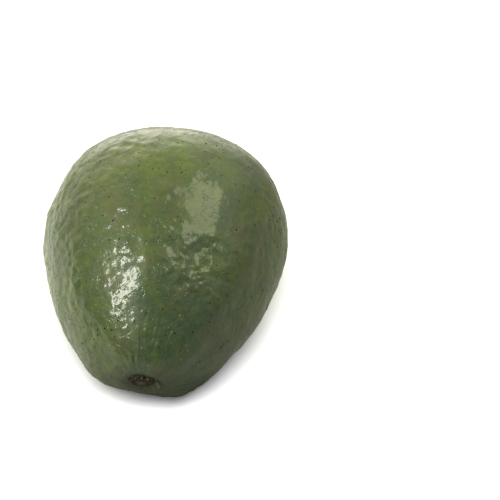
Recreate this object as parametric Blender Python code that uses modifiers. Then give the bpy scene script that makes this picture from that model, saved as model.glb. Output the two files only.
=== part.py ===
"""A whole green-skinned avocado of the large smooth kind, lying on its side.

The fruit is one solid: a blunt egg that narrows to the stem end, a little wider than
it is thick, with lobed shoulders round the stem hollow, shallow furrows that run out
of the hollow, low swells, and a small flat spot where it rests. The dried stem button
is a second, woody piece that stands in a round socket at the bottom of the hollow.

Metres, +Z up. The stem end points along -Y and dips, and the fruit rests on z = 0.
"""

import math

import bmesh
import bpy
from mathutils import Matrix, Vector, noise

# The fruit's own axes: +Z runs from its middle to the stem end, +X across, +Y up when it lies.
LENGTH = 0.1236  # blossom end to stem end
WIDTH = 0.1027  # widest place, side to side
THICKNESS = 0.0943  # widest place, top to underside
TAPER = 0.286  # how far the stem half is slimmer than the blossom half
BLUNTNESS = 0.061  # fills out both ends of the egg against its belly
LEAN = Vector((-0.0009, -0.0006))  # the stem end stands this far off the axis

# Lobes: how many go round, their height as a share of the radius, and where one stands.
# Each set is strongest at an angle from the stem end and fades to both sides of it.
SHOULDERS = ((3, 0.0406, math.radians(-47.8)), (4, 0.0398, math.radians(37.3)))
SHOULDERS_AT, SHOULDERS_FADE = 0.50, 0.33
RIDGES = (
    (3, 0.0058, math.radians(-51.9)),
    (4, 0.0070, math.radians(30.9)),
    (5, 0.0103, math.radians(-18.3)),
)
RIDGES_AT, RIDGES_FADE = 1.95, 0.85

# Low relief of the skin.
SWELL_HEIGHT = 0.0009
SWELL_RATE = 2.3  # swells for each radius of the fruit
SWELL_PLACE = Vector((4.1, 1.7, 2.9))  # where in the noise they are read
FURROW_DEPTH = 0.0011
FURROW_RATE = 2.4  # sets how many furrows run out of the hollow
FURROW_FADE = 0.75  # radians from the stem end over which they die out
LEAST_WAY_OUT = 0.008  # furrows start this far from the stem's centre

# The stem stands askew: the tip of the fruit is sheared to face the underside.
TIP_TILT = math.radians(17.0)
TIP_FADE = 0.40  # radians from the stem end over which the shear dies out

# The stem hollow, and the round socket in its floor, a little to one side.
HOLLOW_PLACE = Vector((0.0000, -0.0028))
HOLLOW_RADIUS = 0.0074
HOLLOW_DEPTH = 0.0022
HOLLOW_EDGE = 5.0  # higher makes a flatter floor and a steeper wall
HOLLOW_WAVE = 0.16  # how unevenly round its lip is
SOCKET_PLACE = HOLLOW_PLACE + Vector((-0.0008, 0.0010))
SOCKET_RADIUS = 0.0052
SOCKET_DEPTH = 0.0016
SOCKET_LEAN = math.radians(21.5)  # how far it faces to the underside

# The stem button, a dried woody disc with a raised rim and a sunken middle.
GAP = 0.0003
BUTTON_RADIUS = SOCKET_RADIUS - GAP
BUTTON_HEIGHT = 0.0012  # rim above the floor of the hollow
BUTTON_FOOT = SOCKET_DEPTH - GAP
BUTTON_STEPS = 32

# The point at the blossom end where the flower's style dropped off.
STYLE_RADIUS = 0.0022
STYLE_HEIGHT = 0.0007

# How it lies.
DIP = math.radians(12.4)  # the stem end is lower than the blossom end
ROLL = math.radians(-0.8)
FLAT_DEPTH = 0.0005  # how much of the underside the flat spot takes off

# Mesh density.
AROUND = 72
ALONG = 56
CROWDING = 0.66  # how much closer the rings stand at the two ends


def egg(polar):
    """Radius of the egg at an angle from the stem end, before it is scaled to size."""
    return math.sin(polar) * (1 - TAPER * math.cos(polar) + BLUNTNESS * math.cos(2 * polar))


WIDEST = max(egg(math.pi * step / 2000) for step in range(2001))


def lobes(polar, around):
    """How much the shoulders and the ridges add here, as a share of the radius."""
    added = 0.0
    for lobe_set, at, fade in ((SHOULDERS, SHOULDERS_AT, SHOULDERS_FADE), (RIDGES, RIDGES_AT, RIDGES_FADE)):
        strength = math.exp(-(((polar - at) / fade) ** 2))
        for count, size, turn in lobe_set:
            added += strength * size * math.cos(count * (around - turn))
    return added


def furrow(polar, around, way_out):
    """Depth of the furrows that run from the hollow over the shoulders."""
    read_at = Vector((math.cos(around), math.sin(around), 0.25 * polar)) * FURROW_RATE
    start = 1 - math.exp(-((way_out / LEAST_WAY_OUT) ** 2))
    fade = math.exp(-((polar / FURROW_FADE) ** 2))
    return FURROW_DEPTH * start * fade * noise.noise(read_at)


def hollow(around, way_out):
    """Depth of the stem hollow, whose lip is not quite round."""
    read_at = Vector((1.3 * math.cos(around), 1.3 * math.sin(around), 5.0))
    lip = HOLLOW_RADIUS * (1 + HOLLOW_WAVE * noise.noise(read_at))
    return HOLLOW_DEPTH * math.exp(-((way_out / lip) ** HOLLOW_EDGE))


def skin_point(polar, around):
    """A point of the skin in the fruit's own axes, polar from the stem end and around from +X."""
    radius = egg(polar) / WIDEST * (1 + lobes(polar, around))
    across = Vector((WIDTH / 2 * math.cos(around), THICKNESS / 2 * math.sin(around))) * radius
    to_stem = ((1 + math.cos(polar)) / 2) ** 2
    point = Vector((*(across + LEAN * to_stem), LENGTH / 2 * math.cos(polar)))

    outward = Vector((point.x / WIDTH**2, point.y / THICKNESS**2, point.z / LENGTH**2)).normalized()
    way_out = (across - HOLLOW_PLACE).length
    swell = SWELL_HEIGHT * noise.noise(outward * SWELL_RATE + SWELL_PLACE)
    point += outward * (swell + furrow(polar, around, way_out))

    if polar < math.pi / 2:
        point.z += math.tan(TIP_TILT) * math.exp(-((polar / TIP_FADE) ** 2)) * across.y
        point.z -= hollow(around, way_out)
    else:
        point.z -= STYLE_HEIGHT * math.exp(-((across.length / STYLE_RADIUS) ** 2))
    return point


def lying():
    """The turn that lays the fruit down: its own +Z goes to -Y and dips, its own +Y goes up."""
    lay = Matrix.Rotation(math.pi / 2 + DIP, 4, "X")
    return lay @ Matrix.Rotation(ROLL, 4, "Z")


def new_collection(name):
    collection = bpy.data.collections.new(name)
    bpy.context.scene.collection.children.link(collection)
    return collection


def new_material(name, colour, roughness):
    material = bpy.data.materials.new(name)
    material.use_nodes = True
    shader = material.node_tree.nodes["Principled BSDF"]
    shader.inputs["Base Color"].default_value = (*colour, 1.0)
    shader.inputs["Roughness"].default_value = roughness
    shader.inputs["Metallic"].default_value = 0.0
    return material


def mesh_object(name, bm, collection, material=None):
    bmesh.ops.recalc_face_normals(bm, faces=bm.faces)
    mesh = bpy.data.meshes.new(name)
    bm.to_mesh(mesh)
    bm.free()
    mesh.shade_smooth()
    obj = bpy.data.objects.new(name, mesh)
    if material:
        mesh.materials.append(material)
    collection.objects.link(obj)
    return obj


def add_cut(obj, cutter, name):
    cut = obj.modifiers.new(name, "BOOLEAN")
    cut.operation = "DIFFERENCE"
    cut.object = cutter


def as_cutter(obj):
    obj.hide_render = True
    obj.display_type = "WIRE"
    return obj


def make_fruit(collection, material):
    """The fruit: a sphere's points sent to the skin, with more rings near both ends.

    It is laid down, centred over the origin and sunk by the depth of its flat spot.
    """
    bm = bmesh.new()
    bmesh.ops.create_uvsphere(bm, u_segments=AROUND, v_segments=ALONG, radius=1.0)
    for vert in bm.verts:
        even = math.acos(max(-1.0, min(1.0, vert.co.z)))
        polar = even - CROWDING / 2 * math.sin(2 * even)
        around = math.atan2(vert.co.y, vert.co.x)
        vert.co = skin_point(polar, around)
    bm.transform(lying())
    low = Vector([min(vert.co[axis] for vert in bm.verts) for axis in range(3)])
    high = Vector([max(vert.co[axis] for vert in bm.verts) for axis in range(3)])
    middle = (low + high) / 2
    placing = Vector((-middle.x, -middle.y, -low.z - FLAT_DEPTH))
    bmesh.ops.translate(bm, verts=bm.verts, vec=placing)
    return mesh_object("fruit", bm, collection, material), placing


def make_table_cutter(collection):
    """A block with its top at z = 0, which takes the flat spot off the underside."""
    bm = bmesh.new()
    side = 2 * LENGTH
    bmesh.ops.create_cube(bm, size=side, matrix=Matrix.Translation((0, 0, -side / 2)))
    return as_cutter(mesh_object("table_cutter", bm, collection))


def make_socket_cutter(collection, scar):
    """A round plug that opens the socket in the floor of the hollow."""
    bm = bmesh.new()
    tall = HOLLOW_DEPTH + SOCKET_DEPTH
    bmesh.ops.create_cone(
        bm,
        cap_ends=True,
        segments=BUTTON_STEPS,
        radius1=SOCKET_RADIUS,
        radius2=SOCKET_RADIUS,
        depth=tall,
        matrix=Matrix.Translation((0, 0, tall / 2 - SOCKET_DEPTH)),
    )
    cutter = as_cutter(mesh_object("socket_cutter", bm, collection))
    cutter.matrix_world = scar
    return cutter


def button_profile():
    """Half outline of the button: its sunken middle, its rim, its side and its foot."""
    edge = 0.25 * BUTTON_HEIGHT
    return (
        (0.0, 0.62 * BUTTON_HEIGHT),
        (0.16 * BUTTON_RADIUS, 0.66 * BUTTON_HEIGHT),
        (0.30 * BUTTON_RADIUS, 0.52 * BUTTON_HEIGHT),
        (0.55 * BUTTON_RADIUS, 0.60 * BUTTON_HEIGHT),
        (0.76 * BUTTON_RADIUS, BUTTON_HEIGHT),
        (BUTTON_RADIUS - edge, 0.92 * BUTTON_HEIGHT),
        (BUTTON_RADIUS, BUTTON_HEIGHT - 1.6 * edge),
        (BUTTON_RADIUS, 0.5 * edge - BUTTON_FOOT),
        (BUTTON_RADIUS - 0.5 * edge, -BUTTON_FOOT),
        (0.0, -BUTTON_FOOT),
    )


def make_button(collection, material, scar):
    """The dried stem: the profile turned once round the scar's axis."""
    mesh = bpy.data.meshes.new("stem_button")
    points = [(radius, 0.0, height) for radius, height in button_profile()]
    mesh.from_pydata(points, [(i, i + 1) for i in range(len(points) - 1)], [])
    mesh.materials.append(material)
    button = bpy.data.objects.new("stem_button", mesh)
    collection.objects.link(button)
    turn = button.modifiers.new("turned", "SCREW")
    turn.axis = "Z"
    turn.steps = turn.render_steps = BUTTON_STEPS
    turn.use_merge_vertices = True
    turn.merge_threshold = 0.00001
    turn.use_smooth_shade = True
    button.matrix_world = scar
    return button


def scar_frame(placing):
    """Where the socket opens in the hollow's floor, with +Z pointing out of it."""
    floor = skin_point(0.0, 0.0) + Vector((*SOCKET_PLACE, math.tan(TIP_TILT) * SOCKET_PLACE.y))
    turned = Matrix.Translation(floor) @ Matrix.Rotation(SOCKET_LEAN, 4, "X")
    return Matrix.Translation(placing) @ lying() @ turned


def main():
    for obj in list(bpy.data.objects):
        bpy.data.objects.remove(obj)
    avocado = new_collection("avocado")
    cutters = new_collection("avocado_cutters")
    skin = new_material("skin", (0.098, 0.138, 0.047), 0.28)
    stem = new_material("stem", (0.060, 0.038, 0.022), 0.80)

    fruit, placing = make_fruit(avocado, skin)
    scar = scar_frame(placing)
    add_cut(fruit, make_table_cutter(cutters), "flat spot")
    add_cut(fruit, make_socket_cutter(cutters, scar), "stem socket")
    make_button(avocado, stem, scar)


main()
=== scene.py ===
import math

import bmesh
import bpy
from mathutils import Matrix, Vector, noise


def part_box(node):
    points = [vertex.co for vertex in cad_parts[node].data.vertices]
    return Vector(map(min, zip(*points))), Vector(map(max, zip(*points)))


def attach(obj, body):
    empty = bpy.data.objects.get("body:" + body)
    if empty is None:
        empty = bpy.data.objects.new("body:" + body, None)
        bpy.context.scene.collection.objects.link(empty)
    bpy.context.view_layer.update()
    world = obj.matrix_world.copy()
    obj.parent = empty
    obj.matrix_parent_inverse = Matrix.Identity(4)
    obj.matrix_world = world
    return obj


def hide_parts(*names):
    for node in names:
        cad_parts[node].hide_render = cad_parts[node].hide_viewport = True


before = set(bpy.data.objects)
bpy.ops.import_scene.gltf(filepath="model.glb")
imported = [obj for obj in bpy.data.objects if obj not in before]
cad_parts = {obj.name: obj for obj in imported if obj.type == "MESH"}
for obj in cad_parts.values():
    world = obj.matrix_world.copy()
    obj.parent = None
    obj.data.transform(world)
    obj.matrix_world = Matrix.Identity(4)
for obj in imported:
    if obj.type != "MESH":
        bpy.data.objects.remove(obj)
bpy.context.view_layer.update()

# THE FRUIT. Skin and flesh grown as one: a blunt egg that narrows to lobed shoulders round the
# stem hollow, laid on its side. A cube's grid is sent to the same rule as the solid, then its
# leathery skin is raised by Geometry Nodes.

LENGTH, WIDTH, THICKNESS = 0.1236, 0.1027, 0.0943
TAPER, BLUNTNESS = 0.286, 0.061
LEAN = Vector((-0.0009, -0.0006))  # how far the stem end is shifted across the fruit
SHOULDERS = ((3, 0.0406, math.radians(-47.8)), (4, 0.0398, math.radians(37.3)))  # lobes, size, turn
SHOULDERS_AT, SHOULDERS_FADE = 0.50, 0.33
RIDGES = (
    (3, 0.0058, math.radians(-51.9)),
    (4, 0.0070, math.radians(30.9)),
    (5, 0.0103, math.radians(-18.3)),
)
RIDGES_AT, RIDGES_FADE = 1.95, 0.85
SWELL_HEIGHT, SWELL_RATE, SWELL_PLACE = 0.0009, 2.3, Vector((4.1, 1.7, 2.9))
FURROW_DEPTH, FURROW_RATE, FURROW_ALONG = 0.0011, 2.4, 0.25
FURROW_FADE, LEAST_WAY_OUT = 0.75, 0.008
TIP_TILT, TIP_FADE = math.radians(17.0), 0.40
HOLLOW_PLACE = Vector((0.0000, -0.0028))
HOLLOW_RADIUS, HOLLOW_DEPTH, HOLLOW_EDGE = 0.0074, 0.0022, 5.0
HOLLOW_WAVE, HOLLOW_WAVE_RATE, HOLLOW_WAVE_PLACE = 0.16, 1.3, Vector((0, 0, 5))
SOCKET_PLACE = HOLLOW_PLACE + Vector((-0.0008, 0.0010))
SOCKET_RADIUS, SOCKET_DEPTH, SOCKET_LEAN = 0.0052, 0.0016, math.radians(21.5)
STYLE_RADIUS, STYLE_HEIGHT = 0.0022, 0.0007
DIP, ROLL = math.radians(12.4), math.radians(-0.8)

GRID_CELLS = 124  # along each edge of the cube
STEM_CROWDING = 0.30  # how much closer the grid stands round the stem
EGG_STEPS = 2000  # the egg is read at this many places to find its widest


def round_way(around, up=0.0):
    return Vector((math.cos(around), math.sin(around), up))


def egg(polar):
    return math.sin(polar) * (1 - TAPER * math.cos(polar) + BLUNTNESS * math.cos(2 * polar))


WIDEST = max(egg(math.pi * step / EGG_STEPS) for step in range(EGG_STEPS + 1))


def lobes(polar, around):
    added = 0.0
    for lobe_set, at, fade in ((SHOULDERS, SHOULDERS_AT, SHOULDERS_FADE), (RIDGES, RIDGES_AT, RIDGES_FADE)):
        strength = math.exp(-(((polar - at) / fade) ** 2))
        for count, size, turn in lobe_set:
            added += strength * size * math.cos(count * (around - turn))
    return added


def furrow(polar, around, way_out):
    start = 1 - math.exp(-((way_out / LEAST_WAY_OUT) ** 2))
    fade = math.exp(-((polar / FURROW_FADE) ** 2))
    return FURROW_DEPTH * start * fade * noise.noise(round_way(around, FURROW_ALONG * polar) * FURROW_RATE)


def hollow(around, way_out):
    wave = noise.noise(round_way(around) * HOLLOW_WAVE_RATE + HOLLOW_WAVE_PLACE)
    lip = HOLLOW_RADIUS * (1 + HOLLOW_WAVE * wave)
    return HOLLOW_DEPTH * math.exp(-((way_out / lip) ** HOLLOW_EDGE))


def skin_point(polar, around):
    """A point of the skin in the fruit's own axes, polar from the stem end and around from +X."""
    radius = egg(polar) / WIDEST * (1 + lobes(polar, around))
    across = Vector((WIDTH / 2 * math.cos(around), THICKNESS / 2 * math.sin(around))) * radius
    to_stem = ((1 + math.cos(polar)) / 2) ** 2
    point = Vector((*(across + LEAN * to_stem), LENGTH / 2 * math.cos(polar)))

    outward = Vector((point.x / WIDTH**2, point.y / THICKNESS**2, point.z / LENGTH**2)).normalized()
    way_out = (across - HOLLOW_PLACE).length
    swell = SWELL_HEIGHT * noise.noise(outward * SWELL_RATE + SWELL_PLACE)
    point += outward * (swell + furrow(polar, around, way_out))

    if polar < math.pi / 2:
        point.z += math.tan(TIP_TILT) * math.exp(-((polar / TIP_FADE) ** 2)) * across.y
        point.z -= hollow(around, way_out)
    else:
        point.z -= STYLE_HEIGHT * math.exp(-((across.length / STYLE_RADIUS) ** 2))
    return point


def fruit_grid():
    """The laid-down grid of the fruit, with each point's (polar, around), before it is placed."""
    bm = bmesh.new()
    bmesh.ops.create_cube(bm, size=2.0)
    bmesh.ops.subdivide_edges(bm, edges=bm.edges[:], cuts=GRID_CELLS - 1, use_grid_fill=True)
    laid = Matrix.Rotation(math.pi / 2 + DIP, 4, "X") @ Matrix.Rotation(ROLL, 4, "Z")
    places = []
    for vert in bm.verts:
        way = Vector([math.tan(side * math.pi / 4) for side in vert.co]).normalized()
        even = math.acos(max(-1.0, min(1.0, way.z)))
        polar = even - STEM_CROWDING * math.sin(even) * (1 + math.cos(even)) / 2
        around = math.atan2(way.y, way.x)
        vert.co = laid @ skin_point(polar, around)
        places.append((polar, around))
    bmesh.ops.recalc_face_normals(bm, faces=bm.faces)
    mesh = bpy.data.meshes.new("skin")
    bm.to_mesh(mesh)
    bm.free()
    mesh.shade_smooth()
    return mesh, places, laid


skin_mesh, skin_places, laid = fruit_grid()
fruit_low, fruit_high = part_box("fruit")
grid_low, grid_high = (Vector([pick(vert.co[axis] for vert in skin_mesh.vertices) for axis in range(3)])
                       for pick in (min, max))
placing = (fruit_low + fruit_high - grid_low - grid_high) / 2
placing.z = fruit_high.z - grid_high.z
skin_mesh.transform(Matrix.Translation(placing))

# The round socket that the stem leaves in the hollow's floor, with +Z pointing out of it.
socket_floor = skin_point(0.0, 0.0) + Vector((*SOCKET_PLACE, math.tan(TIP_TILT) * SOCKET_PLACE.y))
scar = Matrix.Translation(placing) @ laid @ Matrix.Translation(socket_floor)
scar = scar @ Matrix.Rotation(SOCKET_LEAN, 4, "X")
to_scar = scar.inverted()
SNAP = 0.0003  # grid points this near the socket's lip are moved onto it

from_stem = []
for vert in skin_mesh.vertices:
    point = to_scar @ vert.co
    out = math.hypot(point.x, point.y)
    from_stem.append(point.length)
    if out < SOCKET_RADIUS + SNAP and point.length < 2 * SOCKET_RADIUS:
        if out > SOCKET_RADIUS - SNAP:
            point.x, point.y = (side * SOCKET_RADIUS / out for side in (point.x, point.y))
        else:
            point.z = -SOCKET_DEPTH
        vert.co = scar @ point

# What the skin's patterns follow: "lie" runs round the fruit and along it, "from_stem" is the
# distance in metres from the middle of the stem's scar.
lie = skin_mesh.attributes.new("lie", "FLOAT_VECTOR", "POINT")
lie.data.foreach_set("vector", [side for polar, around in skin_places for side in round_way(around, polar)])
stem_way = skin_mesh.attributes.new("from_stem", "FLOAT", "POINT")
stem_way.data.foreach_set("value", from_stem)


def put(tree, kind, inputs=(), **settings):
    """Adds a node of this kind; inputs are (socket, value or output to join) pairs."""
    made = tree.nodes.new(kind)
    for name, setting in settings.items():
        setattr(made, name, setting)
    for socket, value in dict(inputs).items():
        target = made.inputs[socket]
        if isinstance(value, bpy.types.NodeSocket):
            tree.links.new(value, target)
        else:
            target.default_value = value
    return made


def math_of(tree, operation, *values, clamp=False):
    """The result of a Math node over values or outputs."""
    return put(tree, "ShaderNodeMath", enumerate(values), operation=operation, use_clamp=clamp).outputs[0]


def vector_of(tree, operation, *values):
    """The result of a Vector Math node over values or outputs."""
    made = put(tree, "ShaderNodeVectorMath", enumerate(values), operation=operation)
    return made.outputs["Value" if operation in ("DISTANCE", "DOT_PRODUCT", "LENGTH") else "Vector"]


def scaled(tree, vector, factor):
    return put(tree, "ShaderNodeVectorMath", {0: vector, "Scale": factor}, operation="SCALE").outputs[0]


def product(tree, first, *others):
    for other in others:
        first = math_of(tree, "MULTIPLY", first, other)
    return first


def eased(tree, value, start, end, low=0.0, high=1.0, curve="SMOOTHSTEP"):
    """The value brought from low at start to high at end, and held beyond both."""
    return put(tree, "ShaderNodeMapRange", {"Value": value, "From Min": start, "From Max": end, "To Min": low,
                                            "To Max": high}, interpolation_type=curve).outputs[0]


def noise_of(tree, where, rate, detail=2.0, rough=0.5, bend=0.0):
    """Noise from 0 to 1 with this many bumps to one unit of the place."""
    return put(tree, "ShaderNodeTexNoise", {"Vector": where, "Scale": rate, "Detail": detail,
                                            "Roughness": rough, "Distortion": bend}).outputs[0]


def raised_noise(tree, where, size, detail, rough):
    """Noise from -0.5 to 0.5 whose bumps are this far apart, in metres."""
    made = noise_of(tree, where, math_of(tree, "DIVIDE", 1.0, size), detail, rough)
    return math_of(tree, "SUBTRACT", made, 0.5)


def off_middle(tree, value):
    """How far noise is from its middle value, so 0 along lines that wander over the surface."""
    return math_of(tree, "ABSOLUTE", math_of(tree, "SUBTRACT", value, 0.5))


def thin_lines(tree, value, sharpness):
    """1 along the lines where noise passes its middle value, falling to 0 beside them."""
    beside = math_of(tree, "MULTIPLY", off_middle(tree, value), sharpness, clamp=True)
    return math_of(tree, "SUBTRACT", 1.0, beside)


def bent_place(tree, where, rate, reach):
    """The place shifted by up to half this reach, in metres, so that a pattern's lines bend."""
    shift = put(tree, "ShaderNodeTexNoise", {"Vector": where, "Scale": rate, "Detail": 2.0}).outputs["Color"]
    return vector_of(tree, "ADD", where, scaled(tree, shift, reach))


def facing(tree, along, around):
    """How far the place on the fruit faces this way round it, 1 there and -1 on the other side."""
    return vector_of(tree, "DOT_PRODUCT", along, round_way(around))


def new_tree(name, kind, inputs, outputs):
    """A node tree with named sockets: (label, short type) in and out."""
    types = {"float": "NodeSocketFloat", "int": "NodeSocketInt", "colour": "NodeSocketColor",
             "vector": "NodeSocketVector", "shape": "NodeSocketGeometry", "material": "NodeSocketMaterial"}
    tree = bpy.data.node_groups.new(name, kind)
    for sockets, in_out in ((inputs, "INPUT"), (outputs, "OUTPUT")):
        for label, short in sockets:
            tree.interface.new_socket(label, in_out=in_out, socket_type=types[short])
    return tree, tree.nodes.new("NodeGroupInput").outputs, tree.nodes.new("NodeGroupOutput").inputs


def skin_attribute(tree, name, kind="FLOAT"):
    """A named attribute of the skin, for Geometry Nodes."""
    return put(tree, "GeometryNodeInputNamedAttribute", {"Name": name}, data_type=kind).outputs[0]


# Where the relief lies. A range gives where it starts and is full, then its shares there if they
# are not 0 and 1. Facing a side of the fruit is 1, the other side -1.
COARSE_SIDE = math.radians(175)  # round the fruit, where its skin is roughest
COARSE_FACING = (0.15, 0.75)
PEBBLE_BEND_RATE, PEBBLE_BEND = 150.0, 0.0030
PEBBLE_SOFTNESS, PEBBLE_MIDDLE = 0.35, 0.45
ROUGHER_RATE, ROUGHER = 60.0, (0.38, 0.62, 0.45, 1.3)  # some places are rougher than others
CREASE_SHARPNESS, NECK_FURROW_SHARPNESS = 16.0, 9.0
NECK_FURROW_RATES = (5.0, 5.0, 0.9)  # many round the fruit, drawn out along it
NECK_FURROW_FULL = 0.008  # this near the stem
NECK_FURROW_FACING = (-0.1, 0.8, 0.50, 1.0)
SPOT_RANGES = {"Flat Spot": (0.0095, 0.0150, 0.14), "Calm Spot": (0.013, 0.024, 0.36),
               "Rough Spot": (0.009, 0.020, 2.3)}  # distance, in metres, and share in the middle


def skin_relief_tree():
    """Raises dimples, leathery pebbles and creases on the skin, and none of them in the socket."""
    tree, given, result = new_tree("skin relief", "GeometryNodeTree", [
        ("Geometry", "shape"), ("Dimple Size", "float"), ("Dimple Height", "float"),
        ("Pebble Size", "float"), ("Pebble Height", "float"), ("Crease Length", "float"),
        ("Crease Depth", "float"), ("Neck Furrow Depth", "float"), ("Neck Furrow Reach", "float"),
        ("Coarser", "float"), ("Smooth Round Stem", "float"), ("Flat Spot", "vector"),
        ("Calm Spot", "vector"), ("Rough Spot", "vector"), ("Finish", "material"),
    ], [("Geometry", "shape")])
    where = put(tree, "GeometryNodeInputPosition").outputs[0]
    outward = put(tree, "GeometryNodeInputNormal").outputs[0]
    way = skin_attribute(tree, "from_stem")
    along = skin_attribute(tree, "lie", "FLOAT_VECTOR")
    coarse_side = facing(tree, along, COARSE_SIDE)
    rougher = eased(tree, noise_of(tree, where, ROUGHER_RATE, detail=1.0), *ROUGHER)

    dimples = raised_noise(tree, where, given["Dimple Size"], detail=1.0, rough=0.4)
    height = product(tree, dimples, given["Dimple Height"])

    bent = bent_place(tree, where, PEBBLE_BEND_RATE, PEBBLE_BEND)
    rate = math_of(tree, "DIVIDE", 1.0, given["Pebble Size"])
    cells = put(tree, "ShaderNodeTexVoronoi", {"Vector": bent, "Scale": rate, "Smoothness": PEBBLE_SOFTNESS},
                feature="SMOOTH_F1")
    pebbles = product(tree, math_of(tree, "SUBTRACT", PEBBLE_MIDDLE, cells.outputs["Distance"]), rougher,
                      eased(tree, coarse_side, *COARSE_FACING, 1.0, given["Coarser"]))
    height = math_of(tree, "MULTIPLY_ADD", pebbles, given["Pebble Height"], height)

    rate = math_of(tree, "DIVIDE", 1.0, given["Crease Length"])
    creases = thin_lines(tree, noise_of(tree, where, rate, detail=3.0, rough=0.6, bend=0.8), CREASE_SHARPNESS)
    height = math_of(tree, "SUBTRACT", height, product(tree, creases, given["Crease Depth"]))

    drawn_out = vector_of(tree, "MULTIPLY", along, NECK_FURROW_RATES)
    furrows = thin_lines(tree, noise_of(tree, drawn_out, 1.0, rough=0.6), NECK_FURROW_SHARPNESS)
    near = eased(tree, way, given["Neck Furrow Reach"], NECK_FURROW_FULL, curve="LINEAR")
    furrows = product(tree, furrows, near, given["Neck Furrow Depth"], rougher,
                      eased(tree, coarse_side, *NECK_FURROW_FACING))
    height = math_of(tree, "SUBTRACT", height, furrows)

    rising_end = product(tree, given["Smooth Round Stem"], 2.0)
    height = product(tree, height, eased(tree, way, given["Smooth Round Stem"], rising_end, curve="LINEAR"))
    for spot, spread in SPOT_RANGES.items():
        height = product(tree, height, eased(tree, vector_of(tree, "DISTANCE", where, given[spot]), *spread))

    raised = put(tree, "GeometryNodeSetPosition", {"Geometry": given["Geometry"],
                                                   "Offset": scaled(tree, outward, height)}).outputs[0]
    whole = put(tree, "GeometryNodeRealizeInstances", {"Geometry": raised}).outputs[0]
    clad = put(tree, "GeometryNodeSetMaterial", {"Geometry": whole, "Material": given["Finish"]}).outputs[0]
    tree.links.new(clad, result["Geometry"])
    return tree


def shaped_by(tree, piece, sizes):
    """Runs the piece's mesh through a Geometry Nodes tree with these sizes and keeps the result."""
    modifier = piece.modifiers.new(tree.name, "NODES")
    modifier.node_group = tree
    for socket in tree.interface.items_tree:
        if socket.in_out == "INPUT" and socket.name in sizes:
            modifier[socket.identifier] = sizes[socket.name]
    graph = bpy.context.evaluated_depsgraph_get()
    shaped = bpy.data.meshes.new_from_object(piece.evaluated_get(graph), preserve_all_data_layers=True,
                                             depsgraph=graph)
    piece.modifiers.remove(modifier)
    old, piece.data = piece.data, shaped
    shaped.name = piece.name
    bpy.data.meshes.remove(old)
    piece.data.shade_smooth()


def new_piece(name, mesh):
    piece = bpy.data.objects.new(name, mesh)
    bpy.context.scene.collection.objects.link(piece)
    return piece


# Skin colours, linear. The fruit is a dull olive green, greyer towards the stem and bluer in one
# long stripe, with dark and pale flecks. Painted warm light makes it yellower towards its broad end,
# and painted cool shade makes one side of the neck bluer and darker.
OLIVE = (0.102, 0.144, 0.027, 1.0)
BLUE_GREEN = (0.070, 0.111, 0.043, 1.0)
YELLOW_OLIVE = (0.130, 0.170, 0.024, 1.0)
DULL_OLIVE = (0.122, 0.118, 0.042, 1.0)
DARK_SPECK = (0.024, 0.024, 0.002, 1.0)
PALE_SPECK = (0.260, 0.300, 0.130, 1.0)
STEM_GREY = (0.076, 0.092, 0.050, 1.0)
STYLE_BROWN = (0.060, 0.038, 0.020, 1.0)

# Where the colours lie, as ranges like the relief's. Along the fruit is an angle from the stem end.
# Painted cool shade: on one side, the neck is made bluer and darker.
COOL_SHADE_SIDE, NECK_FACING, NECK_ALONG = math.radians(48), (0.2, 0.95), (1.35, 0.75)
BLUE_SWING, BLUE_SHARE, NECK_COOL_SHADE_SHARE = 2.2, 0.25, 0.75
# Painted warm light: the skin is made yellower towards its broad end, where the top light falls.
YELLOW_SWING, YELLOW_SHARE, WARM_LIGHT_ALONG = -3.0, -0.15, (1.1, 1.9, 0.0, 0.55)
STREAK_RATES = (7.0, 7.0, 1.6)
STRIPE_SIDE, STRIPE_WANDER, STRIPE_FACING = math.radians(76), 0.02, (0.975, 0.996)
STRIPE_START, STRIPE_END, STRIPE_STREAKS = (0.40, 0.75), (1.55, 1.25), (0.30, 0.60, 0.35, 0.85)
BLUE_MOTTLE, YELLOW_MOTTLE = (-0.08, 0.10, 0.0, 0.55), (-0.02, -0.14, 0.0, 0.42)
BLOTCH_SIZE, BLOTCH_SHIFT, BLOTCHES = 0.016, (0.3, 0.7, 0.1), (0.02, 0.14, 0.0, 0.55)
FINE_SIZE, FINE_TONE = 0.0016, 0.60
SPECK_STRETCH, STRETCHED_RATE, PALE_CROWDING = (44.0, 44.0, 30.0), 0.45, 1.3
SPECK_EDGE, SPECK_STRENGTH = (1.0, 0.7), 0.7
STEM_GREY_NEAR = (0.018, 0.006, 0.0, 0.85)  # metres from the stem
STYLE_RAGGED, STYLE_PALE, STYLE_DARK = 0.12, (3.040, 3.090, 0.0, 0.3), (3.095, 3.112, 0.0, 0.9)


def mixed(tree, share, first, second, way="MIX"):
    """Two colours as one; a Mix node takes them in its sockets 6 and 7."""
    return put(tree, "ShaderNodeMix", {"Factor": share, 6: first, 7: second}, data_type="RGBA",
               blend_type=way).outputs[2]


def grey(tree, level):
    return put(tree, "ShaderNodeCombineColor", {0: level, 1: level, 2: level}).outputs[0]


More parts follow.
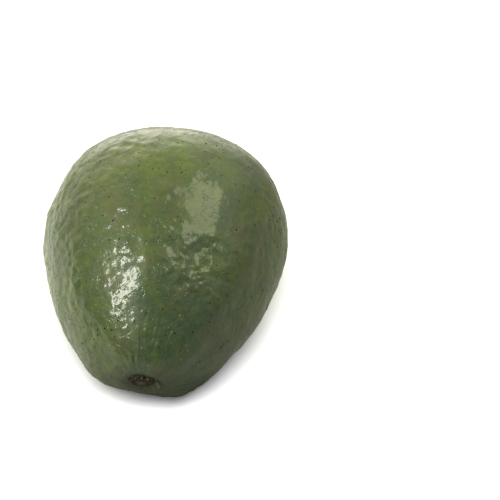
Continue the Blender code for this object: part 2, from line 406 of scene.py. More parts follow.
def skin_colour_tree():
    """Broad patches, a stripe and streaks along the fruit, mottling and flecks, as one colour."""
    tree, given, result = new_tree("skin colour", "ShaderNodeTree", [
        ("Olive", "colour"), ("Blue Green", "colour"), ("Yellow Olive", "colour"),
        ("Dull Olive", "colour"), ("Dark Speck", "colour"), ("Pale Speck", "colour"),
        ("Stem Grey", "colour"), ("Style Brown", "colour"), ("Patch Size", "float"),
        ("Mottle Size", "float"), ("Streaks", "float"), ("Speck Gap", "float"),
    ], [("Colour", "colour")])
    where = put(tree, "ShaderNodeTexCoord").outputs["Object"]
    along = put(tree, "ShaderNodeAttribute", attribute_name="lie").outputs["Vector"]
    polar = put(tree, "ShaderNodeSeparateXYZ", {0: along}).outputs[2]
    way = put(tree, "ShaderNodeAttribute", attribute_name="from_stem").outputs["Fac"]

    patches = raised_noise(tree, where, given["Patch Size"], detail=2.0, rough=0.5)
    # painted cool shade on one side of the neck
    neck = product(tree, eased(tree, polar, *NECK_ALONG),
                   eased(tree, facing(tree, along, COOL_SHADE_SIDE), *NECK_FACING))
    blue = math_of(tree, "MULTIPLY_ADD", patches, BLUE_SWING, BLUE_SHARE)
    blue = math_of(tree, "MULTIPLY_ADD", neck, NECK_COOL_SHADE_SHARE, blue, clamp=True)
    yellow = math_of(tree, "MULTIPLY_ADD", patches, YELLOW_SWING, YELLOW_SHARE)
    # painted warm light towards the broad end
    yellow = math_of(tree, "ADD", yellow, eased(tree, polar, *WARM_LIGHT_ALONG), clamp=True)
    colour = mixed(tree, blue, given["Olive"], given["Blue Green"])
    colour = mixed(tree, yellow, colour, given["Yellow Olive"])

    lengthwise = put(tree, "ShaderNodeMapping", {"Vector": along, "Scale": STREAK_RATES}).outputs[0]
    streaks = noise_of(tree, lengthwise, 1.0)
    side = math_of(tree, "MULTIPLY_ADD", patches, STRIPE_WANDER, facing(tree, along, STRIPE_SIDE))
    stripe = product(tree, eased(tree, side, *STRIPE_FACING), eased(tree, polar, *STRIPE_END),
                     eased(tree, polar, *STRIPE_START), eased(tree, streaks, *STRIPE_STREAKS))
    colour = mixed(tree, stripe, colour, given["Blue Green"])

    mottle = raised_noise(tree, where, given["Mottle Size"], detail=5.0, rough=0.62)
    colour = mixed(tree, eased(tree, mottle, *BLUE_MOTTLE), colour, given["Blue Green"])
    colour = mixed(tree, eased(tree, mottle, *YELLOW_MOTTLE), colour, given["Yellow Olive"])
    shifted = vector_of(tree, "ADD", where, BLOTCH_SHIFT)
    blotches = raised_noise(tree, shifted, BLOTCH_SIZE, detail=4.0, rough=0.65)
    colour = mixed(tree, eased(tree, blotches, *BLOTCHES), colour, given["Dull Olive"])

    fine = raised_noise(tree, where, FINE_SIZE, detail=3.0, rough=0.6)
    tone = product(tree, math_of(tree, "SUBTRACT", streaks, 0.5), given["Streaks"])
    tone = math_of(tree, "ADD", math_of(tree, "MULTIPLY_ADD", fine, FINE_TONE, tone), 1.0)
    colour = mixed(tree, 1.0, colour, grey(tree, tone), "MULTIPLY")

    stretched = put(tree, "ShaderNodeMapping", {"Vector": along, "Scale": SPECK_STRETCH}).outputs[0]
    dark_rate = math_of(tree, "DIVIDE", 1.0, given["Speck Gap"])
    pale_rate = math_of(tree, "DIVIDE", PALE_CROWDING, given["Speck Gap"])
    for speck, spread, rate, reach, bare in (  # reach is the largest radius, bare the share without one
            ("Dark Speck", stretched, STRETCHED_RATE, 0.20, 0.45),
            ("Dark Speck", where, dark_rate, 0.15, 0.35),
            ("Pale Speck", where, pale_rate, 0.11, 0.55)):
        apart = vector_of(tree, "ADD", spread, (reach, reach, reach))
        cells = put(tree, "ShaderNodeTexVoronoi", {"Vector": apart, "Scale": rate})
        drawn = put(tree, "ShaderNodeSeparateColor", {0: cells.outputs["Color"]}).outputs
        size = math_of(tree, "MULTIPLY_ADD", drawn[1], 0.75 * reach, 0.25 * reach)
        near = eased(tree, math_of(tree, "DIVIDE", cells.outputs["Distance"], size), *SPECK_EDGE)
        chosen = product(tree, math_of(tree, "GREATER_THAN", drawn[0], bare), SPECK_STRENGTH)
        colour = mixed(tree, product(tree, near, chosen), colour, given[speck])

    colour = mixed(tree, eased(tree, way, *STEM_GREY_NEAR), colour, given["Stem Grey"])
    ragged = math_of(tree, "MULTIPLY_ADD", fine, STYLE_RAGGED, polar)
    colour = mixed(tree, eased(tree, ragged, *STYLE_PALE), colour, given["Pale Speck"])
    colour = mixed(tree, eased(tree, ragged, *STYLE_DARK), colour, given["Style Brown"])
    tree.links.new(colour, result["Colour"])
    return tree


CELL_BEND_RATE, CELL_BEND, CELL_SOFTNESS, CELL_MIDDLE = 300.0, 0.0030, 0.4, 0.5
CREASE_EDGE, WORN_RATE, WORN = (0.035, 0.0), 130.0, (0.36, 0.54)  # creases run only where it is worn
PIT_EDGE, PIT_DRAWN = (0.20, 0.03), (0.35, 0.60)
GRAIN_RATE = 1500.0
FLAT_SPOT_CALM = (0.0085, 0.0140, 0.68)


def leather_tree():
    """Height, in millimetres, of the finest relief: cells with thin creases between, pits, grain."""
    tree, given, result = new_tree("leathery skin", "ShaderNodeTree", [
        ("Cell Size", "float"), ("Cell Height", "float"), ("Crease Depth", "float"), ("Pit Gap", "float"),
        ("Pit Depth", "float"), ("Grain Height", "float"), ("Coarser", "float"), ("Flat Spot", "vector"),
    ], [("Height", "float")])
    where = put(tree, "ShaderNodeTexCoord").outputs["Object"]
    bent = bent_place(tree, where, CELL_BEND_RATE, CELL_BEND)
    rate = math_of(tree, "DIVIDE", 1.0, given["Cell Size"])
    cells = put(tree, "ShaderNodeTexVoronoi", {"Vector": bent, "Scale": rate, "Smoothness": CELL_SOFTNESS},
                feature="SMOOTH_F1")
    cell = math_of(tree, "SUBTRACT", CELL_MIDDLE, cells.outputs["Distance"])
    height = product(tree, cell, given["Cell Height"])

    lines = off_middle(tree, noise_of(tree, bent, rate, detail=1.3, bend=0.7))
    worn = noise_of(tree, where, WORN_RATE, detail=1.0)
    crease = product(tree, eased(tree, lines, *CREASE_EDGE), eased(tree, worn, *WORN))
    height = math_of(tree, "SUBTRACT", height, product(tree, crease, given["Crease Depth"]))

    pits = put(tree, "ShaderNodeTexVoronoi", {"Vector": where,
                                              "Scale": math_of(tree, "DIVIDE", 1.0, given["Pit Gap"])})
    drawn = put(tree, "ShaderNodeSeparateColor", {0: pits.outputs["Color"]}).outputs[0]
    pit = product(tree, eased(tree, pits.outputs["Distance"], *PIT_EDGE), eased(tree, drawn, *PIT_DRAWN))
    height = math_of(tree, "SUBTRACT", height, product(tree, pit, given["Pit Depth"]))
    height = math_of(tree, "MULTIPLY_ADD", noise_of(tree, where, GRAIN_RATE), given["Grain Height"], height)

    along = put(tree, "ShaderNodeAttribute", attribute_name="lie").outputs["Vector"]
    coarser = eased(tree, facing(tree, along, COARSE_SIDE), *COARSE_FACING, 1.0, given["Coarser"])
    off_spot = vector_of(tree, "DISTANCE", where, given["Flat Spot"])
    height = product(tree, height, coarser, eased(tree, off_spot, *FLAT_SPOT_CALM))
    tree.links.new(height, result["Height"])
    return tree


def new_finish(name, roughness, coat=0.0, coat_roughness=0.1):
    """A Principled material: its tree, its shader and the shader's settings that never vary."""
    finish = bpy.data.materials.new(name)
    finish.use_nodes = True
    shader = finish.node_tree.nodes["Principled BSDF"]
    shader.inputs["Roughness"].default_value = roughness
    shader.inputs["Coat Weight"].default_value = coat
    shader.inputs["Coat Roughness"].default_value = coat_roughness
    return finish, finish.node_tree, shader


def use_group(tree, group, values):
    made = tree.nodes.new("ShaderNodeGroup")
    made.node_tree = group
    for label, value in values.items():
        made.inputs[label].default_value = value
    return made.outputs[0]


def bumped(tree, height, strength, distance):
    return put(tree, "ShaderNodeBump", {"Strength": strength, "Distance": distance,
                                        "Height": height}).outputs[0]


def on_skin(polar, around):
    """The place on the finished fruit at these angles, in degrees."""
    return Matrix.Translation(placing) @ laid @ skin_point(math.radians(polar), math.radians(around))


FLAT_SPOT, CALM_SPOT, ROUGH_SPOT = on_skin(88, 68), on_skin(47, 110), on_skin(64, 62)

waxy_skin, tree, shader = new_finish("waxy skin", 0.45, coat=1.0, coat_roughness=0.10)
painted = use_group(tree, skin_colour_tree(), {
    "Olive": OLIVE, "Blue Green": BLUE_GREEN, "Yellow Olive": YELLOW_OLIVE, "Dull Olive": DULL_OLIVE,
    "Dark Speck": DARK_SPECK, "Pale Speck": PALE_SPECK, "Stem Grey": STEM_GREY, "Style Brown": STYLE_BROWN,
    "Patch Size": 0.045, "Mottle Size": 0.0075, "Streaks": 0.45, "Speck Gap": 0.0034,
})
tree.links.new(painted, shader.inputs["Base Color"])
leather = use_group(tree, leather_tree(), {
    "Cell Size": 0.0036, "Cell Height": 0.085, "Crease Depth": 0.052, "Pit Gap": 0.0024, "Pit Depth": 0.012,
    "Grain Height": 0.0012, "Coarser": 1.5, "Flat Spot": FLAT_SPOT,
})
bump = bumped(tree, leather, strength=1.0, distance=0.001)
tree.links.new(bump, shader.inputs["Normal"])
tree.links.new(bump, shader.inputs["Coat Normal"])

skin = new_piece("skin", skin_mesh)
shaped_by(skin_relief_tree(), skin, {
    "Dimple Size": 0.0105, "Dimple Height": 0.00095, "Pebble Size": 0.0044, "Pebble Height": 0.00032,
    "Crease Length": 0.011, "Crease Depth": 0.00014, "Neck Furrow Depth": 0.00050,
    "Neck Furrow Reach": 0.042, "Coarser": 2.5, "Smooth Round Stem": 0.0062, "Flat Spot": FLAT_SPOT,
    "Calm Spot": CALM_SPOT, "Rough Spot": ROUGH_SPOT, "Finish": waxy_skin,
})
for vert in skin.data.vertices:
    vert.co.z = max(0.0, vert.co.z)  # the flat spot it rests on
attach(skin, "root")
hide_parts("fruit")

# THE LENTICELS. Corky breathing pores that stand a little proud of the skin, dark or pale, a few
# millimetres apart. Geometry Nodes scatter one small dome over the whole skin.

OFF_TABLE = (0.0004, 0.0009)  # none this low, where the skin meets the table
CROWD_SIZE, CROWDS = 0.014, (-0.10, 0.14, 0.12, 1.0)  # they stand closer in some places
CORK_BY_AGE = (
    (0.00, (0.022, 0.018, 0.008)), (0.62, (0.030, 0.028, 0.010)), (0.80, (0.140, 0.160, 0.055)),
    (1.00, (0.330, 0.330, 0.170)))


def lenticel_tree():
    tree, given, result = new_tree("lenticels", "GeometryNodeTree", [
        ("Geometry", "shape"), ("Least Gap", "float"), ("For Each Square Metre", "float"),
        ("Radius", "float"), ("Flatness", "float"), ("Smallest", "float"), ("Largest", "float"),
        ("Clear Of Stem", "float"), ("Seed", "int"), ("Age Seed", "int"), ("Finish", "material"),
    ], [("Geometry", "shape")])
    where = put(tree, "GeometryNodeInputPosition").outputs[0]
    height = put(tree, "ShaderNodeSeparateXYZ", {0: where}).outputs[2]
    crowd = raised_noise(tree, where, CROWD_SIZE, detail=2.0, rough=0.6)
    off_stem = math_of(tree, "GREATER_THAN", skin_attribute(tree, "from_stem"), given["Clear Of Stem"])
    density = product(tree, off_stem, eased(tree, crowd, *CROWDS),
                      eased(tree, height, *OFF_TABLE, curve="LINEAR"))
    spots = put(tree, "GeometryNodeDistributePointsOnFaces", {
        "Mesh": given["Geometry"], "Distance Min": given["Least Gap"], "Density Factor": density,
        "Density Max": given["For Each Square Metre"], "Seed": given["Seed"],
    }, distribute_method="POISSON").outputs
    dome = put(tree, "GeometryNodeMeshIcoSphere", {"Radius": given["Radius"], "Subdivisions": 1}).outputs[0]
    flat = put(tree, "ShaderNodeCombineXYZ", {0: 1.0, 1: 1.0, 2: given["Flatness"]}).outputs[0]
    dome = put(tree, "GeometryNodeTransform", {"Geometry": dome, "Scale": flat}).outputs[0]
    size = put(tree, "FunctionNodeRandomValue", {2: given["Smallest"], 3: given["Largest"],
                                                 "Seed": given["Seed"]}, data_type="FLOAT").outputs[1]
    placed = put(tree, "GeometryNodeInstanceOnPoints", {
        "Points": spots["Points"], "Instance": dome, "Rotation": spots["Rotation"], "Scale": size,
    }).outputs[0]
    age = put(tree, "FunctionNodeRandomValue", {2: 0.0, 3: 1.0, "Seed": given["Age Seed"]},
              data_type="FLOAT").outputs[1]
    aged = put(tree, "GeometryNodeStoreNamedAttribute", {"Geometry": placed, "Name": "age", "Value": age},
               data_type="FLOAT", domain="INSTANCE").outputs[0]
    whole = put(tree, "GeometryNodeRealizeInstances", {"Geometry": aged}).outputs[0]
    clad = put(tree, "GeometryNodeSetMaterial", {"Geometry": whole, "Material": given["Finish"]}).outputs[0]
    tree.links.new(clad, result["Geometry"])
    return tree


def ramp_of(tree, value, stops):
    """The colour of a value between stops, each a position and a colour."""
    made = put(tree, "ShaderNodeValToRGB", {"Fac": value})
    first, *between, last = stops
    for element, (position, colour) in zip(made.color_ramp.elements, (first, last)):
        element.position = position
        element.color = (*colour, 1.0)
    for position, colour in between:
        made.color_ramp.elements.new(position).color = (*colour, 1.0)
    return made.outputs[0]


cork, tree, shader = new_finish("lenticel cork", 0.8)
age = put(tree, "ShaderNodeAttribute", attribute_name="age").outputs["Fac"]
tree.links.new(ramp_of(tree, age, CORK_BY_AGE), shader.inputs["Base Color"])

lenticels = new_piece("lenticels", skin.data.copy())
shaped_by(lenticel_tree(), lenticels, {
    "Least Gap": 0.0013, "For Each Square Metre": 70000.0, "Radius": 0.00044, "Flatness": 0.16,
    "Smallest": 0.30, "Largest": 1.10, "Clear Of Stem": 0.0075, "Seed": 11, "Age Seed": 5, "Finish": cork,
})
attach(lenticels, "root")

# THE STEM BUTTON. What is left of the stem: a dried woody disc, sunken inside its rim, with
# cracks that run out from the middle. It stands in its socket with a small gap all round.

BUTTON_GAP = 0.0003
BUTTON_RADIUS = SOCKET_RADIUS - BUTTON_GAP
BUTTON_HEIGHT = 0.0012
BUTTON_FOOT = SOCKET_DEPTH - BUTTON_GAP
BUTTON_AROUND = 120
BUTTON_TOP_RINGS, BUTTON_TOP_REACH = 26, 0.94

# Shapes of the top: places are shares of its radius, heights are shares of its height.
BUTTON_FLOOR = 0.60
RIM_AT, RIM_WIDTH, RIM_HEIGHT = 0.80, 0.17, 0.40
DISH_AT, DISH_WIDTH, DISH_DEPTH = 0.32, 0.10, 0.10
BUTTON_GRAINS = ((0.22, 2.6, 3), (0.12, 7, 7))  # height, rate and place
CRACK_RATE, CRACK_ALONG, CRACK_SHARPNESS, CRACK_START, CRACK_DEPTH = 2.4, 0.9, 9, 3, 0.22
RAGGED_FROM, RAGGED, RAGGED_RATE, RAGGED_PLACE = 0.5, 0.03, 3, Vector((0, 0, 9))

FOOT_BEVEL = 0.125 * BUTTON_HEIGHT
BUTTON_SIDE = (  # out, as a share of the radius, and up
    (1.0, 0.55 * BUTTON_HEIGHT), (1.0, 0.2 * BUTTON_HEIGHT), (0.99, -0.3 * BUTTON_FOOT),
    (1.0, FOOT_BEVEL - BUTTON_FOOT), (1 - FOOT_BEVEL / BUTTON_RADIUS, -BUTTON_FOOT))
FIBRE_DEPTH, FIBRE_RATE, FIBRE_UP_RATE = 0.012, 9, 400


def button_top(out, around):
    """Height of the top face at a share of the radius from the middle."""
    rim = RIM_HEIGHT * math.exp(-(((out - RIM_AT) / RIM_WIDTH) ** 2))
    dish = DISH_DEPTH * math.exp(-(((out - DISH_AT) / DISH_WIDTH) ** 2))
    grain = sum(height * noise.noise(round_way(around) * out * rate + Vector((0, 0, place)))
                for height, rate, place in BUTTON_GRAINS)
    crack = noise.noise(round_way(around) * CRACK_RATE + Vector((0, 0, CRACK_ALONG * out)))
    crack = max(0.0, 1 - abs(crack) * CRACK_SHARPNESS) * min(1.0, CRACK_START * out) * CRACK_DEPTH
    return BUTTON_HEIGHT * (BUTTON_FLOOR + rim - dish + grain - crack)


def stem_button():
    bm = bmesh.new()
    arounds = [math.tau * step / BUTTON_AROUND for step in range(BUTTON_AROUND)]
    rows = []
    for ring in range(1, BUTTON_TOP_RINGS + 1):
        out = ring / BUTTON_TOP_RINGS * BUTTON_TOP_REACH
        row = []
        for around in arounds:
            reach = out * BUTTON_RADIUS
            if out > RAGGED_FROM:
                reach *= 1 + RAGGED * noise.noise(round_way(around) * RAGGED_RATE + RAGGED_PLACE)
            row.append(bm.verts.new(round_way(around) * reach + Vector((0, 0, button_top(out, around)))))
        rows.append(row)
    for out, height in BUTTON_SIDE:
        row = []
        for around in arounds:
            fibre = noise.noise(round_way(around) * FIBRE_RATE + Vector((0, 0, FIBRE_UP_RATE * height)))
            reach = out * BUTTON_RADIUS * (1 - FIBRE_DEPTH * (1 + fibre))
            row.append(bm.verts.new(round_way(around) * reach + Vector((0, 0, height))))
        rows.append(row)
    middle = bm.verts.new((0, 0, button_top(0.0, 0.0)))
    foot = bm.verts.new((0, 0, -BUTTON_FOOT))
    for inner, outer in zip(rows, rows[1:]):
        for step in range(BUTTON_AROUND):
            after = (step + 1) % BUTTON_AROUND
            bm.faces.new((inner[step], outer[step], outer[after], inner[after]))
    for step in range(BUTTON_AROUND):
        after = (step + 1) % BUTTON_AROUND
        bm.faces.new((middle, rows[0][step], rows[0][after]))
        bm.faces.new((foot, rows[-1][after], rows[-1][step]))
    bmesh.ops.recalc_face_normals(bm, faces=bm.faces)
    mesh = bpy.data.meshes.new("stem_wood")
    bm.to_mesh(mesh)
    bm.free()
    mesh.shade_smooth()
    mesh.transform(scar)
    return mesh


WOOD_GRAIN_RATE = 900.0
WOOD_BY_GRAIN = ((0.32, (0.016, 0.011, 0.008)), (0.72, (0.120, 0.078, 0.050)))
# A pale pith, set off its middle towards the disc's lower edge, where its paleness is partly a painted
# highlight of the rim catching the light.
PITH_AND_HIGHLIGHT_COLOUR, PITH_AND_HIGHLIGHT_SHIFT = (0.21, 0.19, 0.16, 1.0), (0.0004, 0.0012, 0.0)
PITH_AND_HIGHLIGHT_EDGE = (0.0021, 0.0014, 0.0, 0.75)  # metres from its middle, and its share


def from_scar(tree, where):
    """The place as the socket's own axes see it."""
    return put(tree, "ShaderNodeMapping", {"Vector": where, "Location": scar.translation,
                                           "Rotation": scar.to_euler()}, vector_type="TEXTURE").outputs[0]


dry_wood, tree, shader = new_finish("dry stem wood", 0.75)
where = put(tree, "ShaderNodeTexCoord").outputs["Object"]
grain = noise_of(tree, where, WOOD_GRAIN_RATE, detail=5.0, rough=0.65)
across = vector_of(tree, "MULTIPLY", from_scar(tree, where), (1.0, 1.0, 0.0))
# the pale pith, partly a painted highlight
pith_and_highlight_way = vector_of(tree, "LENGTH", vector_of(tree, "ADD", across, PITH_AND_HIGHLIGHT_SHIFT))
pith_and_highlight = eased(tree, pith_and_highlight_way, *PITH_AND_HIGHLIGHT_EDGE, curve="LINEAR")
wood = mixed(tree, pith_and_highlight, ramp_of(tree, grain, WOOD_BY_GRAIN), PITH_AND_HIGHLIGHT_COLOUR)
tree.links.new(wood, shader.inputs["Base Color"])
tree.links.new(bumped(tree, grain, strength=1.0, distance=0.0003), shader.inputs["Normal"])

stem_wood = new_piece("stem_wood", stem_button())
stem_wood.data.materials.append(dry_wood)
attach(stem_wood, "root")
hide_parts("stem_button")

# THE TORN COLLAR. Where the stem broke off, the rind round it dried into a ragged brown rim with
# a few torn flakes. It is grown to the skin and covers part of the gap round the button.

MM = 0.001
COLLAR_AROUND = 120
COLLAR_SECTION = (  # out from the middle and up, in millimetres, with how far each point is torn
    (4.86, -0.10, 0.0, 0.0), (4.98, 0.16, 0.0, 0.34), (5.22, 0.26, 0.05, 0.50), (5.45, 0.14, 0.20, 0.26),
    (5.75, -0.02, 0.40, 0.06), (5.90, -0.30, 0.35, 0.0), (5.50, -0.50, 0.0, 0.0), (5.05, -0.45, 0.0, 0.0))
TEARS = ((1.4, 1.0), (0.7, 2.7))  # height and rate of the two noises that tear it
OUT_TEAR_RATE, OUT_TEAR_PLACE, UP_TEAR_RATE, UP_TEAR_PLACE, UP_TEAR_MIDDLE = 3.0, 2.0, 4.0, 5.0, 0.4
WORN_TOWARD, WORN_BACK, WORN_WITHIN, WORN_LOW = math.pi + 0.3, 0.22, 5.3, 0.6  # the gap shows there

FLAKES = (  # around, out, length, width, lift, twist (degrees and millimetres), and how pale
    (84, 5.0, 1.5, 1.2, 40, 0, 1.0), (58, 5.3, 2.0, 1.4, 35, 8, 1.0), (38, 5.5, 1.5, 1.3, 40, -10, 0.7),
    (24, 6.4, 3.4, 0.8, 14, 18, 0.8), (8, 6.6, 3.0, 0.9, 14, -6, 0.1), (-6, 6.2, 2.6, 0.7, 16, 10, 0.6),
    (-22, 6.7, 3.2, 4.2, 22, -10, 0.60), (-46, 6.5, 3.0, 3.6, 16, -40, 0.45),
    (116, 5.0, 0.9, 0.6, 50, 0, 0.8), (165, 5.3, 1.0, 0.5, 30, 0, 0.5))
FLAKE_CELLS, FLAKE_THICK, FLAKE_UP = (8, 4), 0.16 * MM, 0.35 * MM
FLAKE_TAPER, FLAKE_RAGGED, FLAKE_RAGGED_RATE = 0.7, 0.5, (5, 3)
FLAKE_CURL, FLAKE_WAVE, FLAKE_WAVE_RATE = 0.35, 0.12, (3, 4)


def torn(around, rate, place):
    """A ragged number from about -1 to 1 that runs round the stem."""
    return sum(height * noise.noise(round_way(around) * rate * finer + Vector((0, 0, place)))
               for height, finer in TEARS)


def torn_flake(degrees, out, length, width, lift, twist):
    """One curled scrap of rind, as its own mesh, placed round the stem."""
    flake = bmesh.new()
    bmesh.ops.create_grid(flake, x_segments=FLAKE_CELLS[0], y_segments=FLAKE_CELLS[1], size=0.5)
    for vert in flake.verts:
        along, side = vert.co.x, vert.co.y
        to_tip = (along + 0.5) ** 2
        ragged = noise.noise(Vector((FLAKE_RAGGED_RATE[0] * along, degrees, FLAKE_RAGGED_RATE[1] * side)))
        wave = noise.noise(Vector((FLAKE_WAVE_RATE[0] * along, FLAKE_WAVE_RATE[1] * side, degrees)))
        narrow = 1 - FLAKE_TAPER * to_tip + FLAKE_RAGGED * ragged
        curl = FLAKE_CURL * to_tip * length + FLAKE_WAVE * wave
        vert.co = Vector((along * length, side * narrow * width, curl)) * MM
    bmesh.ops.solidify(flake, geom=flake.faces[:], thickness=FLAKE_THICK)
    place = Matrix.Rotation(math.radians(degrees), 4, "Z") @ Matrix.Translation((out * MM, 0, FLAKE_UP))
    turn = Matrix.Rotation(math.radians(twist), 4, "Z") @ Matrix.Rotation(-math.radians(lift), 4, "Y")
    flake.transform(place @ turn)
    mesh = bpy.data.meshes.new("flake")
    flake.to_mesh(mesh)
    flake.free()
    return mesh


def torn_collar():
    bm = bmesh.new()
    rows = []
    for step in range(COLLAR_AROUND):
        around = math.tau * step / COLLAR_AROUND
        wide = torn(around, OUT_TEAR_RATE, OUT_TEAR_PLACE)
        high = UP_TEAR_MIDDLE + torn(around, UP_TEAR_RATE, UP_TEAR_PLACE)
        worn = max(0.0, math.cos(around - WORN_TOWARD))
        row = []
        for out, up, out_torn, up_torn in COLLAR_SECTION:
            reach = out + out_torn * wide
            if out < WORN_WITHIN:
                reach += WORN_BACK * worn
            rise = up + up_torn * high * (1 - WORN_LOW * worn)
            row.append(bm.verts.new((round_way(around) * reach + Vector((0, 0, rise))) * MM))
        rows.append(row)
    for step, row in enumerate(rows):
        after = rows[(step + 1) % COLLAR_AROUND]
        for k in range(len(row)):
            bm.faces.new((row[k], row[k - 1], after[k - 1], after[k]))
    shades = [0.0] * len(bm.faces)
    for *shape, pale in FLAKES:
        flake = torn_flake(*shape)
        bm.from_mesh(flake)
        bpy.data.meshes.remove(flake)
        shades += [pale] * (len(bm.faces) - len(shades))
    bmesh.ops.recalc_face_normals(bm, faces=bm.faces)
    mesh = bpy.data.meshes.new("torn_collar")
    bm.to_mesh(mesh)
    bm.free()
    paleness = mesh.attributes.new("paleness", "FLOAT", "FACE")
    paleness.data.foreach_set("value", shades)
    mesh.shade_smooth()
    mesh.transform(scar)
    return mesh


RIND_GRAIN_RATE = 420.0
RIND_BY_GRAIN = (
    (0.36, (0.030, 0.020, 0.014)), (0.47, (0.060, 0.045, 0.030)), (0.56, (0.110, 0.110, 0.055)),
    (0.66, (0.260, 0.250, 0.150)))
FLAKE_COLOUR, FLAKE_GRAIN = (0.330, 0.330, 0.190, 1.0), (0.35, 0.52, 0.35, 0.95)
RIND_TO_SKIN = (0.0052, 0.0059)  # metres from the scar's middle

torn_rind, tree, shader = new_finish("torn rind", 0.7)
where = put(tree, "ShaderNodeTexCoord").outputs["Object"]
grain = noise_of(tree, where, RIND_GRAIN_RATE, detail=4.0, rough=0.7)
out = vector_of(tree, "LENGTH", from_scar(tree, where))
rind = mixed(tree, eased(tree, out, *RIND_TO_SKIN), ramp_of(tree, grain, RIND_BY_GRAIN), STEM_GREY)
paleness = put(tree, "ShaderNodeAttribute", attribute_name="paleness").outputs["Fac"]
paleness = product(tree, paleness, eased(tree, grain, *FLAKE_GRAIN))
tree.links.new(mixed(tree, paleness, rind, FLAKE_COLOUR), shader.inputs["Base Color"])
tree.links.new(bumped(tree, grain, strength=0.8, distance=0.0002), shader.inputs["Normal"])

collar = new_piece("torn_collar", torn_collar())
collar.data.materials.append(torn_rind)
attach(collar, "root")

# THE CAMERA. It stands upright in front of the fruit and 33 degrees above it, and looks at it
# through a long lens.

LENS, SENSOR = 155.27, 36.0
EYE = Vector((0.0996, -0.7423, 0.5418))
LOOK = Vector((-0.0701, 0.8343, -0.5468))

lens = bpy.data.cameras.new("camera")
lens.lens, lens.sensor_width = LENS, SENSOR
camera = bpy.data.objects.new("camera", lens)
bpy.context.scene.collection.objects.link(camera)
camera.location = EYE
camera.rotation_euler = LOOK.to_track_quat("-Z", "Y").to_euler()
bpy.context.scene.camera = camera

# THE TABLE AND THE LIGHT. A white table top, on which its own wide light leaves a soft shadow
# close under the fruit, and just below it a pale sheet that only lights the fruit from beneath. A
# window-like box stands at the front left and a round one at the right, in a dim soft studio.

SHEET_HALF = 3.0
SHEET_DROP = 0.0002
TABLE_WHITE = (0.60, 0.60, 0.61, 1.0)
# The pale sheet's grey is painted light and shade: painted light makes it paler to the left, painted shade
# makes it duller to the right, and a painted shadow darkens it under the neck.
PAINTED_LIGHT_WAY, PAINTED_LIGHT_RANGE = (-0.90, 0.43, 0.0), (0.0, 0.08, 0.56, 0.90)  # paler to the left
PAINTED_SHADE_WAY, PAINTED_SHADE_RANGE = (0.80, 0.0, 0.0), (0.02, 0.07, 0.0, 0.115)  # duller to the right
PAINTED_SHADOW_MIDDLE, PAINTED_SHADOW_RANGE = (0.005, -0.045, 0.0), (0.020, 0.050, 0.55, 1.0)  # under the neck


def matt_finish(name):
    """A material of one plain matt shader: the material, its tree and the colour's socket."""
    finish = bpy.data.materials.new(name)
    finish.use_nodes = True
    tree = finish.node_tree
    tree.nodes.remove(tree.nodes["Principled BSDF"])
    matt = put(tree, "ShaderNodeBsdfDiffuse")
    tree.links.new(matt.outputs[0], tree.nodes["Material Output"].inputs["Surface"])
    return finish, tree, matt.inputs["Color"]


def flat_sheet(name, height, finish):
    """A wide level sheet of the stage at this height."""
    mesh = bpy.data.meshes.new(name)
    corners = [(x * SHEET_HALF, y * SHEET_HALF, height) for x, y in ((-1, -1), (1, -1), (1, 1), (-1, 1))]
    mesh.from_pydata(corners, [], [(0, 1, 2, 3)])
    mesh.materials.append(finish)
    sheet = new_piece(name, mesh)
    return sheet


white, tree, colour = matt_finish("white table")
colour.default_value = TABLE_WHITE
table_top = flat_sheet("table_top", 0.0, white)
table_top.visible_diffuse = table_top.visible_glossy = table_top.visible_shadow = False

# The sheet's grey is painted light and shade, which it bounces up onto the fruit.
pale, tree, colour = matt_finish("pale sheet")
place = put(tree, "ShaderNodeTexCoord").outputs["Object"]
left = eased(tree, vector_of(tree, "DOT_PRODUCT", place, PAINTED_LIGHT_WAY), *PAINTED_LIGHT_RANGE)
right = eased(tree, vector_of(tree, "DOT_PRODUCT", place, PAINTED_SHADE_WAY), *PAINTED_SHADE_RANGE)
shade = eased(tree, vector_of(tree, "DISTANCE", place, PAINTED_SHADOW_MIDDLE), *PAINTED_SHADOW_RANGE)
painted_light_and_shade = product(tree, math_of(tree, "SUBTRACT", left, right), shade)
tree.links.new(grey(tree, painted_light_and_shade), colour)
pale_sheet = flat_sheet("pale_sheet", -SHEET_DROP, pale)
pale_sheet.visible_camera = False

LIT_MIDDLE = Vector((0.0, 0.0, 0.045))
BOX_DISTANCE = 1.2


def toward(azimuth, elevation):
    """The way to a light, in degrees; azimuth runs from the front (-Y) to the right (+X)."""
    turn, rise = math.radians(azimuth), math.radians(elevation)
    return Vector((math.sin(turn) * math.cos(rise), -math.cos(turn) * math.cos(rise), math.sin(rise)))


def new_lamp(name, light, azimuth, elevation):
    """Hangs a light on this side of the fruit, aimed at it."""
    way = toward(azimuth, elevation)
    lamp = bpy.data.objects.new(name, light)
    lamp.location = LIT_MIDDLE + way * BOX_DISTANCE
    lamp.rotation_euler = way.to_track_quat("Z", "Y").to_euler()
    bpy.context.scene.collection.objects.link(lamp)
    return lamp


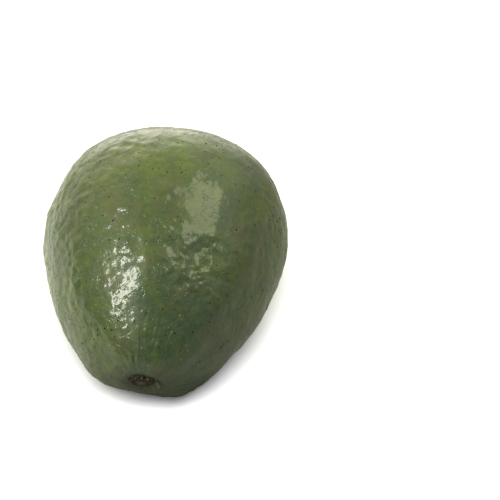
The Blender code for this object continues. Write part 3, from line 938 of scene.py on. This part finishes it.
def softbox(name, azimuth, elevation, wide, high, glow, colour, shape="RECTANGLE"):
    """A square-cornered or oval box; wide and high are the degrees it fills as the fruit sees it."""
    light = bpy.data.lights.new(name, "AREA")
    light.shape = shape
    light.size, light.size_y = (2 * BOX_DISTANCE * math.tan(math.radians(span) / 2) for span in (wide, high))
    light.color = colour
    light.energy = glow * math.pi * light.size * light.size_y * (math.pi / 4 if shape == "ELLIPSE" else 1)
    new_lamp(name, light, azimuth, elevation)


table_light = bpy.data.lights.new("table light", "SUN")
table_light.angle = math.radians(25)
table_light.energy = 8.0
only_table = bpy.data.collections.new("lit by the table light")
only_table.objects.link(table_top)
new_lamp("table light", table_light, 6, 46).light_linking.receiver_collection = only_table

softbox("front left box", -51, 48, 10.0, 27, 14.3, (1.0, 1.0, 0.90))
softbox("right box", 100, 66, 31, 25, 2.3, (1.0, 1.0, 0.70), "ELLIPSE")

# The studio round the fruit: a dim ground tone and broad glows, each with its azimuth, elevation
# and spread in degrees and its colour. The camera sees plain white instead.
STUDIO_TONE = (0.03, 0.04, 0.07)
GLOWS = (
    (-165, 4, 31, (2.20, 2.05, 1.90)), (-62, 45, 26, (0.48, 0.52, 0.36)), (95, 40, 30, (0.48, 0.42, 0.48)),
    (-160, 60, 40, (0.50, 0.62, 0.20)), (-130, 30, 30, (0.45, 0.38, 0.22)), (115, 15, 25, (0.20, 0.22, 0.10)),
    (150, 38, 24, (0.26, 0.26, 0.24)))

studio = bpy.data.worlds.new("studio")
bpy.context.scene.world = studio
studio.use_nodes = True
tree = studio.node_tree
way = put(tree, "ShaderNodeTexCoord").outputs["Generated"]
light = STUDIO_TONE
for azimuth, elevation, spread, colour in GLOWS:
    off = vector_of(tree, "DISTANCE", way, toward(azimuth, elevation))
    off = math_of(tree, "DIVIDE", off, math.radians(spread))
    glow = scaled(tree, colour, math_of(tree, "EXPONENT", product(tree, off, off, -1.0)))
    light = vector_of(tree, "ADD", light, glow)
seen = put(tree, "ShaderNodeLightPath").outputs["Is Camera Ray"]
tree.links.new(mixed(tree, seen, light, (1.0, 1.0, 1.0, 1.0)), tree.nodes["Background"].inputs["Color"])
bpy.context.scene.view_settings.view_transform = "Standard"
